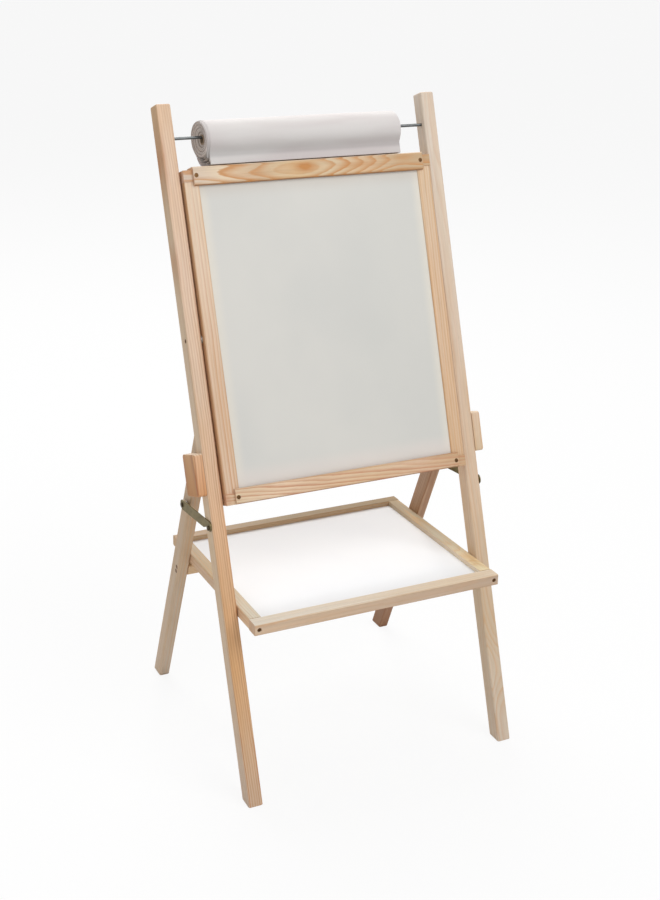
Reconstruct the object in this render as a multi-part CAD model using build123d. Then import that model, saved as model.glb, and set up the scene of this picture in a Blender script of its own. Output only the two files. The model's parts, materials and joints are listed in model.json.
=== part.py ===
"""Folding wooden easel with a dry-wipe board, a paper roll on a rod and a lift-up tray.

Millimetres, +Z up, +X to the right of someone facing the board, +Y to the back.  The origin is
on the floor, at the centre of the easel's plan.  Three local frames carry the pieces:
  front:  the leaning uprights; local z runs up their front faces and local y goes to the back
  rear:   the leaning rear legs; local z runs up their front faces and local y goes to the back
  tray:   local z is up from the rail tops and local y goes to the back from the front rail
"""
import math
import os

from build123d import *

os.makedirs("parts", exist_ok=True)

# ------------------------------------------------------------------ uprights
front_lean = 19.45
upright_above_rod = 51.5
upright_width = 24.0
upright_depth = 27.0
clear_width = 431.0
bar_arris = 3.0
top_arris = 2.5
foot_arris = 1.5

# ------------------------------------------------------------------ board frame
side_gap = 2.5
frame_bottom = 474.0
frame_height = 513.5
frame_behind = 14.0
stile_width = 24.0
stile_proud = 6.5
stile_arris = 2.0
rail_proud = 12.3
rail_arris = 4.0
tongue_proud = 7.9
tongue_length = 15.0
tongue_height = 17.8
lip_height = 6.5
lip_thickness = 5.5
crown_height = 4.4
lap_depth = 10.4
joint_play = 0.1

panel_thickness = 4.0
panel_proud = 4.6
groove_depth = 6.0
rail_groove_depth = 5.0
groove_play = 0.2
panel_play = 0.4

# ------------------------------------------------------------------ frame fixings
dowel_diameter = 6.0
dowel_length = 28.0
dowel_back = 8.8
corner_screw_inset = 19.5
low_screw_rise = 2.0
corner_screw_diameter = 3.6
corner_screw_head = 7.0
corner_screw_length = 20.0
corner_screw_sink = 0.8
side_screw_rise = 258.0
side_screw_back = 7.0
side_screw_diameter = 4.0
side_screw_head = 7.6
side_screw_length = 38.0
side_screw_sink = 0.6
washer_diameter = 12.0

# ------------------------------------------------------------------ cheek blocks and pivots
cheek_thickness = 15.0
cheek_depth = 50.0
cheek_height = 66.0
cheek_above_frame = 19.6
cheek_corner = 5.0
cheek_arris = 1.6
cheek_screw_back = 19.5
cheek_screw_rise = 15.0
cheek_screw_diameter = 4.0
cheek_screw_head = 8.0
cheek_screw_length = 32.0

pivot_rim = 6.6
pivot_bolt_diameter = 4.0
pivot_head_diameter = 9.0
pivot_plug_thickness = 3.0
sleeve_diameter = 6.5
sleeve_flange_diameter = 10.5
sleeve_flange_thickness = 1.5
spacer_diameter = 13.0
running_play = 0.05
body_gap = 0.3

# ------------------------------------------------------------------ rear frame
rear_lean = 23.08
leg_width = 18.0
leg_depth = 30.0
leg_pivot_inset = 6.2
leg_above_pivot = 44.0
crossbar_height = 22.0
crossbar_depth = 18.0
crossbar_arris = 2.0
crossbar_screw_diameter = 4.0
crossbar_screw_head = 8.0
crossbar_screw_length = 45.0

# ------------------------------------------------------------------ stays
stay_below_pivot = 111.5
stay_leg_inset = 11.7
stud_below_cheek = 50.1
stud_back = 8.8
stay_width = 16.5
stay_thickness = 1.6
stay_nose = 9.5
stud_below_axis = 3.0
stud_diameter = 4.5
stud_head_diameter = 8.0
stud_head_thickness = 1.8
stud_grip = 14.0
notch_play = 0.35
notch_flare = 20.0
stay_face_gap = 0.4
stay_spacer_diameter = 9.0

# ------------------------------------------------------------------ tray
tray_top = 300.0
tray_front = 34.9
tray_tilt = 0.92
tray_length = 363.0
tray_side_play = 0.6
tray_rail_height = 18.3
tray_side_width = 20.5
tray_front_width = 24.3
tray_rear_width = 20.5
tray_arris = 2.0
tray_panel_drop = 8.3
tray_panel_thickness = 3.0
tray_groove_depth = 6.0
tray_screw_inset = 7.4
tray_screw_diameter = 4.0
tray_screw_head = 7.6
tray_screw_length = 50.0
tray_screw_sink = 1.0
tray_pin_diameter = 6.0
tray_pin_length = 27.0
tray_pin_in_rail = 13.5

# ------------------------------------------------------------------ rod and paper
rod_diameter = 4.8
rod_above_rail = 46.6
rod_back = 10.3
rod_socket = 14.0
rod_chamfer = 0.6
roll_length = 331.0
roll_offset = -6.9
roll_diameter = 54.0
core_bore = 12.5
core_wall = 1.6
core_stand_out = 1.5
wrap_slack = 2.0
wrap_thickness = 0.8
wrap_sag_share = 0.94
wrap_sag_angles = (20.0, 40.0, 60.0, 80.0)
wrap_rest_inset = 3.0
wrap_stand_off = 0.5
wrap_fold_share = 0.10
wrap_bend_share = 0.85

# ------------------------------------------------------------------ derived places
lean = math.radians(front_lean)
splay = math.radians(rear_lean)
half_clear = clear_width / 2
upright_outer = half_clear + upright_width
frame_half = half_clear - side_gap
frame_top = frame_bottom + frame_height
rod_height = frame_top + crown_height + rod_above_rail
upright_length = rod_height + upright_above_rod
side_screw_height = frame_bottom + side_screw_rise
cheek_bottom = frame_bottom + cheek_above_frame
pivot_height = cheek_bottom + cheek_height - pivot_rim
pivot_back = cheek_depth - pivot_rim
stud_height = cheek_bottom - stud_below_cheek
wrap_radius = roll_diameter / 2 + wrap_slack
stile_inner = frame_half - stile_width
rail_half = frame_half - tongue_length
tray_half = half_clear - tray_side_play
leg_outer = half_clear + leg_width


def front_point(back, height):
    """World y and z of a point given by its depth behind and its height up the front faces."""
    return (
        height * math.sin(lean) + back * math.cos(lean),
        height * math.cos(lean) - back * math.sin(lean),
    )


def rear_point(back, height):
    """World y and z of a point given in the rear legs' own depth and height."""
    return (
        rear_foot + back * math.cos(splay) - height * math.sin(splay),
        height * math.cos(splay) + back * math.sin(splay),
    )


pivot_y, pivot_z = front_point(pivot_back, pivot_height)
leg_pivot_height = (pivot_z - leg_pivot_inset * math.sin(splay)) / math.cos(splay)
leg_length = leg_pivot_height + leg_above_pivot
stay_leg_height = leg_pivot_height - stay_below_pivot
rear_foot = pivot_y + leg_pivot_height * math.sin(splay) - leg_pivot_inset * math.cos(splay)

front = Location((0, 0, 0), (-front_lean, 0, 0))
rear = Location((0, rear_foot, 0), (rear_lean, 0, 0))
tray = Location((0, tray_front, tray_top), (-tray_tilt, 0, 0))

nodes = {}


# ------------------------------------------------------------------ shared forms
def block(x_range, y_range, z_range):
    """A box between two limits on each axis."""
    spans = (x_range, y_range, z_range)
    sizes = [abs(high - low) for low, high in spans]
    centre = [(low + high) / 2 for low, high in spans]
    return Pos(*centre) * Box(*sizes)


def across(radius, x_from, x_to, y, z):
    """A round bar parallel to X between two x values."""
    return Pos((x_from + x_to) / 2, y, z) * Rot(0, 90, 0) * Cylinder(radius, abs(x_to - x_from))


def wood_screw(length, diameter, head, sink=0.0):
    """A countersunk screw along -Z with its head's top face `sink` below z = 0."""
    cone = (head - diameter) / 2
    profile = Polyline(
        (0, 0), (head / 2, 0), (diameter / 2, -cone), (diameter / 2, -length), (0, -length), close=True
    )
    return Pos(0, 0, -sink) * revolve(Plane.XZ * make_face(profile), Axis.Z)


def screw_hole(length, diameter, head, sink=0.0):
    """The hole that such a screw leaves: its own form and the counterbore above its head."""
    screw = wood_screw(length, diameter, head, sink)
    if sink > 0:
        screw += Pos(0, 0, -sink / 2) * Cylinder(head / 2, sink)
    return screw


def level_foot(bar):
    """Cut a leaning bar off level with the floor and ease the edges of its foot."""
    reach = 2 * upright_length
    bar = bar - block((-reach, reach), (-reach, reach), (-reach, 0))
    return fillet(bar.edges().filter_by_position(Axis.Z, -0.01, 0.01), foot_arris)


def rounded_bar(x_range, y_range, z_range, radius, axis):
    """A bar whose long edges, those along `axis`, are rounded."""
    bar = block(x_range, y_range, z_range)
    return fillet(bar.edges().filter_by(axis), radius)


def both_sides(make):
    """The same piece made for the left (-1) and the right (+1) side."""
    return [make(-1), make(1)]


# ------------------------------------------------------------------ where the holes are
def dowel_places():
    """Heights of the two dowels on each side, at the middle of the rails' tongues."""
    return (frame_bottom + tongue_height / 2, frame_top - tongue_height / 2)


def outward(side, x, y, z, item):
    """Set an item made along -Z so that it points inwards from the outer side at x."""
    return Pos(side * x, y, z) * Rot(0, side * 90, 0) * item


def inward(side, x, y, z, item):
    """Set an item made along -Z so that it points outwards from the inner side at x."""
    return Pos(side * x, y, z) * Rot(0, -side * 90, 0) * item


side_screw = wood_screw(side_screw_length, side_screw_diameter, side_screw_head, side_screw_sink)
side_screw_bore = screw_hole(side_screw_length, side_screw_diameter, side_screw_head, side_screw_sink)
cheek_screw = wood_screw(cheek_screw_length, cheek_screw_diameter, cheek_screw_head)


def set_side_screw(side, item):
    """A screw through an upright's outer face into the stile."""
    return outward(side, upright_outer, side_screw_back, side_screw_height, item)


def set_cheek_screws(side):
    """Two screws from an upright's inner face into the cheek block."""
    heights = (cheek_bottom + cheek_screw_rise, cheek_bottom + cheek_height - cheek_screw_rise)
    return [inward(side, half_clear, cheek_screw_back, z, cheek_screw) for z in heights]


def dowels(side):
    """The dowels between an upright and the board frame."""
    middle = side * (half_clear - side_gap / 2)
    ends = (middle - dowel_length / 2, middle + dowel_length / 2)
    return [across(dowel_diameter / 2, *ends, dowel_back, z) for z in dowel_places()]


def tray_pin_place():
    """World y and z of the tray pins: mid-depth in the uprights, mid-height in the tray rails."""
    slope = math.tan(math.radians(tray_tilt))
    back = upright_depth / 2
    drop = tray_rail_height / 2
    level = tray_top - drop / math.cos(math.radians(tray_tilt))
    numerator = level + back * math.sin(lean) - (back * math.cos(lean) - tray_front) * slope
    height = numerator / (math.cos(lean) + math.sin(lean) * slope)
    return front_point(back, height)


def tray_pin(side, radius_play=0.0, end_play=0.0):
    """A plain steel pin between a tray side rail and an upright."""
    inner = tray_half - tray_pin_in_rail
    outer = inner + tray_pin_length + end_play
    return across(tray_pin_diameter / 2 + radius_play, side * inner, side * outer, *tray_pin_place())


def stud(side):
    """A headed stud in an upright's outer face, on which the stay's notch hangs."""
    foot = upright_outer - stud_grip
    neck = stay_outer_face + body_gap
    shank = across(stud_diameter / 2, side * foot, side * neck, stud_back, stud_height)
    head = across(
        stud_head_diameter / 2, side * neck, side * (neck + stud_head_thickness), stud_back, stud_height
    )
    return shank + head


stay_inner_face = upright_outer + stay_face_gap
stay_outer_face = stay_inner_face + stay_thickness


# ------------------------------------------------------------------ uprights
def upright(side):
    """A square-topped bar that leans back, with its foot cut level."""
    xs = (side * half_clear, side * upright_outer)
    bar = rounded_bar(xs, (0, upright_depth), (-upright_depth, upright_length), bar_arris, Axis.Z)
    bar = fillet(bar.faces().sort_by(Axis.Z)[-1].edges(), top_arris)
    bar -= across(rod_diameter / 2 + running_play, *rod_hole(side), rod_back, rod_height)
    bar -= set_side_screw(side, side_screw_bore)
    for item in set_cheek_screws(side) + dowels(side) + [stud(side)]:
        bar -= item
    bar = level_foot(front * bar)
    return bar - tray_pin(side, running_play, body_gap)


def rod_hole(side):
    """The rod's hole: a socket in the left upright and a hole right through the right one."""
    if side < 0:
        return (-half_clear - rod_socket, -half_clear + 1)
    return (half_clear - 1, upright_outer + 1)


nodes["left_upright"], nodes["right_upright"] = both_sides(upright)


# ------------------------------------------------------------------ board frame
def rail(tongue_low, lip_up, crown):
    """A frame rail: an L-shaped front body with a lip and, at its ends, recessed tongues.

    tongue_low is the tongue's lower edge, lip_up tells whether the lip stands up or hangs down,
    and crown is how far the body rises past the tongue on the side away from the lip.
    """
    low, high = tongue_low, tongue_low + tongue_height
    lip = (high, high + lip_height) if lip_up else (low - lip_height, low)
    body = (low - crown, high) if lip_up else (low, high + crown)
    half = rail_half
    shape = block((-half, half), (-rail_proud, frame_behind), body)
    shape += block((-half, half), (-rail_proud, lip_thickness - rail_proud), lip)
    front_edges = shape.edges().filter_by(Axis.X).group_by(Axis.Y)[0]
    shape = fillet(front_edges, rail_arris)
    shape += block((-frame_half, frame_half), (-tongue_proud, frame_behind), (low, high))
    groove = (high - rail_groove_depth, high) if lip_up else (low, low + rail_groove_depth)
    shape -= block((-stile_inner - groove_depth, stile_inner + groove_depth), panel_slot, groove)
    for side in (-1, 1):
        inner = side * (stile_inner - joint_play)
        shape -= block(
            (inner, side * (frame_half + 1)), (lap_front - joint_play, frame_behind + 1), (low - 1, high + 1)
        )
        rise = low_screw_rise if lip_up else 0
        shape -= set_corner_screw(side, (low + high) / 2 + rise, corner_screw_bore)
    return shape


def corner_screw_places():
    """Heights of the corner screws: the bottom rail's are a little above its middle."""
    low, high = dowel_places()
    return (low + low_screw_rise, high)


def set_corner_screw(side, z, item):
    """A screw through a rail's front face into the stile's lap."""
    return Pos(side * (frame_half - corner_screw_inset), -rail_proud, z) * Rot(90, 0, 0) * item


def stile(side):
    """An upright member with a groove for the panel and a lap at each end behind the rails."""
    xs = (side * stile_inner, side * frame_half)
    low, high = frame_bottom + tongue_height, frame_top - tongue_height
    shape = rounded_bar(xs, (-stile_proud, frame_behind), (low, high), stile_arris, Axis.Z)
    groove_xs = (side * (stile_inner - 1), side * (stile_inner + groove_depth))
    shape -= block(groove_xs, panel_slot, (low - 1, high + 1))
    shape += block(xs, (lap_front, frame_behind), (frame_bottom, frame_top))
    for z in corner_screw_places():
        shape -= set_corner_screw(side, z, corner_screw)
    for item in dowels(side) + [set_side_screw(side, side_screw)]:
        shape -= item
    return shape


lap_front = frame_behind - lap_depth
panel_slot = (-panel_proud - groove_play, panel_thickness - panel_proud + groove_play)
corner_screw_size = (corner_screw_length, corner_screw_diameter, corner_screw_head, corner_screw_sink)
corner_screw = wood_screw(*corner_screw_size)
corner_screw_bore = screw_hole(*corner_screw_size)

top_tongue_low = frame_top - tongue_height
nodes["board_top_rail"] = front * rail(top_tongue_low, False, crown_height)
nodes["board_bottom_rail"] = front * rail(frame_bottom, True, 0.0)
nodes["board_left_stile"], nodes["board_right_stile"] = [front * item for item in both_sides(stile)]

panel_half = stile_inner + groove_depth - panel_play
panel_ends = (
    frame_bottom + tongue_height - rail_groove_depth + panel_play,
    top_tongue_low + rail_groove_depth - panel_play,
)
nodes["board_panel"] = front * block(
    (-panel_half, panel_half), (-panel_proud, panel_thickness - panel_proud), panel_ends
)

nodes["board_corner_screws"] = [
    front * set_corner_screw(side, z, corner_screw) for side in (-1, 1) for z in corner_screw_places()
]
nodes["frame_dowels"] = [front * item for side in (-1, 1) for item in dowels(side)]
nodes["frame_side_screws"] = [front * item for item in both_sides(lambda s: set_side_screw(s, side_screw))]


def side_washer(side):
    """The washer that keeps the board frame off the upright at the side screw."""
    place = (side_screw_back, side_screw_height)
    ring = across(washer_diameter / 2, side * frame_half, side * half_clear, *place)
    return ring - across(side_screw_diameter / 2, side * frame_half, side * half_clear, *place)


nodes["frame_washers"] = [front * item for item in both_sides(side_washer)]


# ------------------------------------------------------------------ cheek blocks and pivots
def cheek_block(side):
    """The block screwed to the outside of an upright that carries the rear leg's pivot."""
    outer = side * (upright_outer + cheek_thickness)
    shape = rounded_bar(
        (side * upright_outer, outer),
        (0, cheek_depth),
        (cheek_bottom, cheek_bottom + cheek_height),
        cheek_corner,
        Axis.X,
    )
    outer_face = shape.faces().sort_by(Axis.X)[-1 if side > 0 else 0]
    shape = fillet(outer_face.edges(), cheek_arris)
    for item in set_cheek_screws(side) + [pivot_bolt(side), pivot_plug(side)]:
        shape -= item
    return shape


def pivot_plug(side):
    """The wooden plug that hides a pivot bolt's head."""
    outer = upright_outer + cheek_thickness
    ends = (side * (outer - pivot_plug_thickness), side * outer)
    return across(pivot_head_diameter / 2, *ends, pivot_back, pivot_height)


def pivot_bolt(side):
    """A countersunk bolt through the cheek block into the pivot sleeve, its head under a plug."""
    seat = upright_outer + cheek_thickness - pivot_plug_thickness
    bolt = wood_screw(seat - half_clear - sleeve_flange_thickness, pivot_bolt_diameter, pivot_head_diameter)
    return outward(side, seat, pivot_back, pivot_height, bolt)


def pivot_sleeve(side):
    """A flanged sleeve nut: the leg turns on it, and its flange is sunk in the leg's inner face."""
    place = (pivot_back, pivot_height)
    flange_face = half_clear + joint_play
    flange_end = flange_face + sleeve_flange_thickness
    flange = across(sleeve_flange_diameter / 2, side * flange_face, side * flange_end, *place)
    barrel = across(sleeve_diameter / 2, side * flange_end, side * upright_outer, *place)
    return flange + barrel - pivot_bolt(side)


def pivot_spacer(side):
    """A thick washer between the cheek block and the rear leg."""
    place = (pivot_back, pivot_height)
    ends = (side * (leg_outer + body_gap), side * upright_outer)
    return across(spacer_diameter / 2, *ends, *place) - across(sleeve_diameter / 2, *ends, *place)


nodes["left_cheek_block"], nodes["right_cheek_block"] = [front * item for item in both_sides(cheek_block)]
nodes["cheek_screws"] = [front * item for side in (-1, 1) for item in set_cheek_screws(side)]
nodes["left_pivot_bolt"], nodes["right_pivot_bolt"] = [front * item for item in both_sides(pivot_bolt)]
nodes["left_pivot_sleeve"], nodes["right_pivot_sleeve"] = [front * s for s in both_sides(pivot_sleeve)]
nodes["pivot_plugs"] = [front * item for item in both_sides(pivot_plug)]
nodes["pivot_spacers"] = [front * item for item in both_sides(pivot_spacer)]


# ------------------------------------------------------------------ rear legs and crossbar
def crossbar_top():
    """Height up the rear legs of the crossbar's top, whose back edge carries the tray."""
    slope = math.tan(math.radians(tray_tilt))
    underside = tray_top - tray_rail_height / math.cos(math.radians(tray_tilt)) - body_gap
    start = rear_foot + crossbar_depth * math.cos(splay) - tray_front
    numerator = underside - crossbar_depth * math.sin(splay) - start * slope
    return numerator / (math.cos(splay) - math.sin(splay) * slope)


def crossbar_screws(side):
    """Two screws through a rear leg's outer face into the crossbar's end."""
    high = crossbar_top()
    screw = wood_screw(crossbar_screw_length, crossbar_screw_diameter, crossbar_screw_head)
    heights = (high - crossbar_height * 0.27, high - crossbar_height * 0.73)
    return [outward(side, leg_outer, crossbar_depth / 2, z, screw) for z in heights]


def rear_leg(side):
    """A rear leg: foot cut level, top mitred to bear on the upright's back, with a square nose."""
    xs = (side * half_clear, side * leg_outer)
    bar = rounded_bar(xs, (0, leg_depth), (-leg_depth, leg_length), bar_arris, Axis.Z)
    bar -= stay_screw(side)
    for item in crossbar_screws(side):
        bar -= item
    bar = level_foot(rear * bar)
    reach = 2 * upright_length
    mitre = upright_depth + body_gap
    bar -= front * block((-reach, reach), (mitre - reach, mitre), (-reach, reach))
    place = (pivot_back, pivot_height)
    bore = across(sleeve_diameter / 2 + running_play, side * half_clear, side * leg_outer, *place)
    sink = half_clear + joint_play + sleeve_flange_thickness + body_gap
    bore += across(sleeve_flange_diameter / 2 + body_gap, side * half_clear, side * sink, *place)
    return bar - front * bore


def stay_screw(side):
    """The shouldered screw on which a stay swings."""
    foot = leg_outer - stud_grip
    neck = stay_outer_face + body_gap
    place = (stay_leg_inset, stay_leg_height)
    shank = across(stud_diameter / 2, side * foot, side * neck, *place)
    return shank + across(stud_head_diameter / 2, side * neck, side * (neck + stud_head_thickness), *place)


def stay_spacer(side):
    """The tube that holds a stay off the rear leg, in line with the upright's outer face."""
    ends = (side * leg_outer, side * (stay_inner_face - body_gap))
    place = (stay_leg_inset, stay_leg_height)
    return across(stay_spacer_diameter / 2, *ends, *place) - across(stud_diameter / 2, *ends, *place)


nodes["left_rear_leg"], nodes["right_rear_leg"] = both_sides(rear_leg)
crossbar = rounded_bar(
    (-half_clear, half_clear),
    (0, crossbar_depth),
    (crossbar_top() - crossbar_height, crossbar_top()),
    crossbar_arris,
    Axis.X,
)
for item in crossbar_screws(-1) + crossbar_screws(1):
    crossbar -= item
nodes["rear_crossbar"] = rear * crossbar
nodes["crossbar_screws"] = [rear * item for side in (-1, 1) for item in crossbar_screws(side)]
nodes["stay_screws"] = [rear * item for item in both_sides(stay_screw)]
nodes["stay_spacers"] = [rear * item for item in both_sides(stay_spacer)]
nodes["stay_studs"] = [front * item for item in both_sides(stud)]


# ------------------------------------------------------------------ stays
def stay(side):
    """A flat steel stay: a hole on the leg's screw and a flared notch that hooks over the stud."""
    screw_y, screw_z = rear_point(stay_leg_inset, stay_leg_height)
    stud_y, stud_z = front_point(stud_back, stud_height)
    span = math.hypot(stud_y - screw_y, stud_z - screw_z)
    reach = math.sqrt(span**2 - stud_below_axis**2)
    slope = math.atan2(stud_z - screw_z, screw_y - stud_y) + math.asin(stud_below_axis / span)
    end = stay_width / 2
    length = reach + stay_nose + end
    outline = Pos(length / 2 - end, 0) * RectangleRounded(length, stay_width, end * 0.98)
    seat = stud_diameter / 2 + notch_play
    flare = math.radians(notch_flare)
    below = -end - 1
    start = (reach - seat * math.sin(flare), -stud_below_axis + seat * math.cos(flare))
    back = start[0] - (start[1] - below) / math.tan(flare)
    mouth = Polyline(
        start, (back, below), (reach + seat, below), (reach + seat, -stud_below_axis), close=True
    )
    outline -= make_face(mouth)
    outline -= Pos(reach, -stud_below_axis) * Circle(seat)
    outline -= Circle(stud_diameter / 2 + running_play)
    plate = extrude(outline, stay_thickness / 2, both=True)
    upright_plate = Rot(0, 0, -90) * Rot(90, 0, 0) * plate
    turned = Rot(-math.degrees(slope), 0, 0) * upright_plate
    middle = side * (stay_inner_face + stay_thickness / 2)
    return Pos(middle, screw_y, screw_z) * turned


nodes["left_stay"], nodes["right_stay"] = both_sides(stay)


# ------------------------------------------------------------------ tray
side_y = (tray_front_width, tray_length - tray_rear_width)
side_inner = tray_half - tray_side_width
tray_slot = (-tray_panel_drop - tray_panel_thickness - groove_play, -tray_panel_drop + groove_play)
tray_screw_size = (tray_screw_length, tray_screw_diameter, tray_screw_head, tray_screw_sink)


def set_tray_screw(side, end_y, item):
    """A screw through the front or rear rail into the end of a side rail."""
    turn = Rot(90, 0, 0) if end_y == 0 else Rot(-90, 0, 0)
    return Pos(side * (tray_half - tray_screw_inset), end_y, -tray_rail_height / 2) * turn * item


def tray_screws(item):
    """All four tray screws, or the holes for them."""
    return [set_tray_screw(side, y, item) for side in (-1, 1) for y in (0, tray_length)]


def tray_cross_rail(y_range):
    """The front or the rear rail, as wide as the tray, with a stopped groove for the panel."""
    shape = rounded_bar((-tray_half, tray_half), y_range, (-tray_rail_height, 0), tray_arris, Axis.X)
    grooved = side_inner + tray_groove_depth
    groove_y = (side_y[0] - tray_groove_depth, side_y[1] + tray_groove_depth)
    shape -= block((-grooved, grooved), groove_y, tray_slot)
    for item in tray_screws(screw_hole(*tray_screw_size)):
        shape -= item
    return shape


def tray_side_rail(side):
    """A side rail between the front and rear rails, grooved for the panel."""
    xs = (side * side_inner, side * tray_half)
    shape = rounded_bar(xs, side_y, (-tray_rail_height, 0), tray_arris, Axis.Y)
    groove_xs = (side * (side_inner - 1), side * (side_inner + tray_groove_depth))
    shape -= block(groove_xs, (side_y[0] - 1, side_y[1] + 1), tray_slot)
    for item in tray_screws(wood_screw(*tray_screw_size)):
        shape -= item
    return tray * shape - tray_pin(side)


nodes["tray_front_rail"] = tray * tray_cross_rail((0, tray_front_width))
nodes["tray_rear_rail"] = tray * tray_cross_rail((tray_length - tray_rear_width, tray_length))
nodes["tray_left_rail"], nodes["tray_right_rail"] = both_sides(tray_side_rail)

tray_panel_half = side_inner + tray_groove_depth - panel_play
tray_panel_y = (side_y[0] - tray_groove_depth + panel_play, side_y[1] + tray_groove_depth - panel_play)
nodes["tray_panel"] = tray * block(
    (-tray_panel_half, tray_panel_half),
    tray_panel_y,
    (-tray_panel_drop - tray_panel_thickness, -tray_panel_drop),
)
nodes["tray_screws"] = [tray * item for item in tray_screws(wood_screw(*tray_screw_size))]
nodes["tray_pins"] = both_sides(tray_pin)


# ------------------------------------------------------------------ rod and paper
rod_ends = (-half_clear - rod_socket + body_gap, upright_outer - joint_play)
rod = across(rod_diameter / 2, *rod_ends, rod_back, rod_height)
nodes["paper_rod"] = front * chamfer(rod.edges().filter_by(GeomType.CIRCLE), rod_chamfer)

rod_y, rod_z = front_point(rod_back, rod_height)
core_radius = core_bore / 2 + core_wall
roll_z = rod_z - (core_bore - rod_diameter) / 2 + body_gap
roll_ends = (roll_offset - roll_length / 2, roll_offset + roll_length / 2)
core_ends = (roll_ends[0] - core_stand_out, roll_ends[1] + core_stand_out)

core = across(core_radius, *core_ends, rod_y, roll_z)
nodes["paper_core"] = core - across(core_bore / 2, *core_ends, rod_y, roll_z)
roll = across(roll_diameter / 2, *roll_ends, rod_y, roll_z)
nodes["paper_roll"] = roll - across(core_radius, *roll_ends, rod_y, roll_z)


def wrap_corners():
    """Corners of the loose turn below the roll's middle: its two folds on the rail, then its sag."""
    rail_top = frame_top + crown_height + wrap_stand_off
    rests = [front_point(back, rail_top) for back in (wrap_rest_inset - rail_proud, frame_behind)]
    folds = [(y - rod_y, z - roll_z) for y, z in rests]
    room = math.hypot(*folds[-1]) - wrap_radius
    corners = [(-wrap_radius, 0)] + folds
    for angle in reversed(wrap_sag_angles):
        radius = wrap_radius + wrap_sag_share * room * (angle / wrap_sag_angles[-1]) ** 2
        corners.append((radius * math.cos(math.radians(angle)), -radius * math.sin(math.radians(angle))))
    return corners + [(wrap_radius, 0)]


def bend_radius(before, corner, after, share):
    """The radius of a bend that takes up a share of half the shorter run beside its corner."""
    run = min(math.dist(before, corner), math.dist(corner, after))
    arrival = math.atan2(corner[1] - before[1], corner[0] - before[0])
    leaving = math.atan2(after[1] - corner[1], after[0] - corner[0])
    turn = abs(math.remainder(leaving - arrival, math.tau))
    return share * run / 2 / math.tan(turn / 2)


def wrap_outline():
    """The loose outer turn: round over the roll, straight down in front, sagging behind the rail."""
    corners = wrap_corners()
    shares = [wrap_fold_share] + [wrap_bend_share] * (len(corners) - 3)
    bends = [bend_radius(*corners[i : i + 3], share) for i, share in enumerate(shares)]
    top = ThreePointArc((wrap_radius, 0), (0, wrap_radius), (-wrap_radius, 0))
    return make_face(top + FilletPolyline(*corners, radius=bends))


wrap_face = wrap_outline()
wrap_ring = wrap_face - offset(wrap_face, -wrap_thickness)
wrap = extrude(wrap_ring, roll_length / 2, both=True)
nodes["paper_wrap"] = Pos(roll_offset, rod_y, roll_z) * Rot(0, 0, 90) * Rot(90, 0, 0) * wrap


# ------------------------------------------------------------------ write the parts
def solids_of(item):
    """The solids of a node, which is one shape or a list of like shapes."""
    shapes = item if isinstance(item, list) else [item]
    return [solid for shape in shapes for solid in shape.solids()]


everything = Compound(children=[solid for item in nodes.values() for solid in solids_of(item)])
plan_centre = everything.bounding_box().center()
for name, item in nodes.items():
    placed = [Pos(0, -plan_centre.Y, 0) * solid for solid in solids_of(item)]
    export_step(placed[0] if len(placed) == 1 else Compound(children=placed), f"parts/{name}.step")

print("plan centre", round(plan_centre.X, 4), round(plan_centre.Y, 4))
print("pivot", round(pivot_y - plan_centre.Y, 4), round(pivot_z, 4))
print("stay", [round(v, 4) for v in rear_point(stay_leg_inset, stay_leg_height)])
print("tray pin", [round(v, 4) for v in tray_pin_place()])
print("rod", round(rod_y, 4), round(rod_z, 4), "roll", round(roll_z, 4))
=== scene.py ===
"""Looks for the folding easel: wood, paper, board and metal finishes, and the pieces with fine detail."""
import json
import math

import bpy
from mathutils import Matrix, Vector

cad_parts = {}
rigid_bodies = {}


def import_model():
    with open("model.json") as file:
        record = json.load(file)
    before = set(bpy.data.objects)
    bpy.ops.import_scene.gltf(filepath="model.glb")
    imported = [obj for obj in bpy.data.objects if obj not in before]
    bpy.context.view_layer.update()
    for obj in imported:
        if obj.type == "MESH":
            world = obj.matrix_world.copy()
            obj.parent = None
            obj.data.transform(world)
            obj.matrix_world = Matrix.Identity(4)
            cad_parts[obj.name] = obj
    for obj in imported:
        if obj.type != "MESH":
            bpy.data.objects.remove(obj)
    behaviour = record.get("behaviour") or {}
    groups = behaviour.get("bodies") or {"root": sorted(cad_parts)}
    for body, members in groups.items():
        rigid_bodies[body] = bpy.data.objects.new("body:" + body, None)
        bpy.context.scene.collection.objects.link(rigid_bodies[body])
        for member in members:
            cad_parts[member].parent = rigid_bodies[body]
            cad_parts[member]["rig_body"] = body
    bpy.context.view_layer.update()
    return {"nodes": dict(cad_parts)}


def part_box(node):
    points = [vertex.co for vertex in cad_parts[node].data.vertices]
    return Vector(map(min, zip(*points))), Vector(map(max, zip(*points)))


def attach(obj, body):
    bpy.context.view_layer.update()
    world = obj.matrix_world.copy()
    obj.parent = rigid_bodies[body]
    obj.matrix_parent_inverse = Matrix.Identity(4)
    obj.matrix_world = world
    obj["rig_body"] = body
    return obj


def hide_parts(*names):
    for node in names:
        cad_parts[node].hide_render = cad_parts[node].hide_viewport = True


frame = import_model()

# ------------------------------------------------------------------ the easel's own directions
# the uprights' lean and the rear legs' splay from plumb, and the tray's fall to the back
LEAN = math.radians(19.45)
SPLAY = math.radians(23.08)
TILT = math.radians(0.92)
ACROSS = Vector((1, 0, 0))
UP_FRONT = Vector((0, math.sin(LEAN), math.cos(LEAN)))
OUT_FRONT = Vector((0, -math.cos(LEAN), math.sin(LEAN)))
UP_REAR = Vector((0, -math.sin(SPLAY), math.cos(SPLAY)))
OUT_REAR = Vector((0, -math.cos(SPLAY), -math.sin(SPLAY)))
TRAY_BACK = Vector((0, math.cos(TILT), -math.sin(TILT)))
TRAY_UP = Vector((0, math.sin(TILT), math.cos(TILT)))
MM = 0.001


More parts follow.
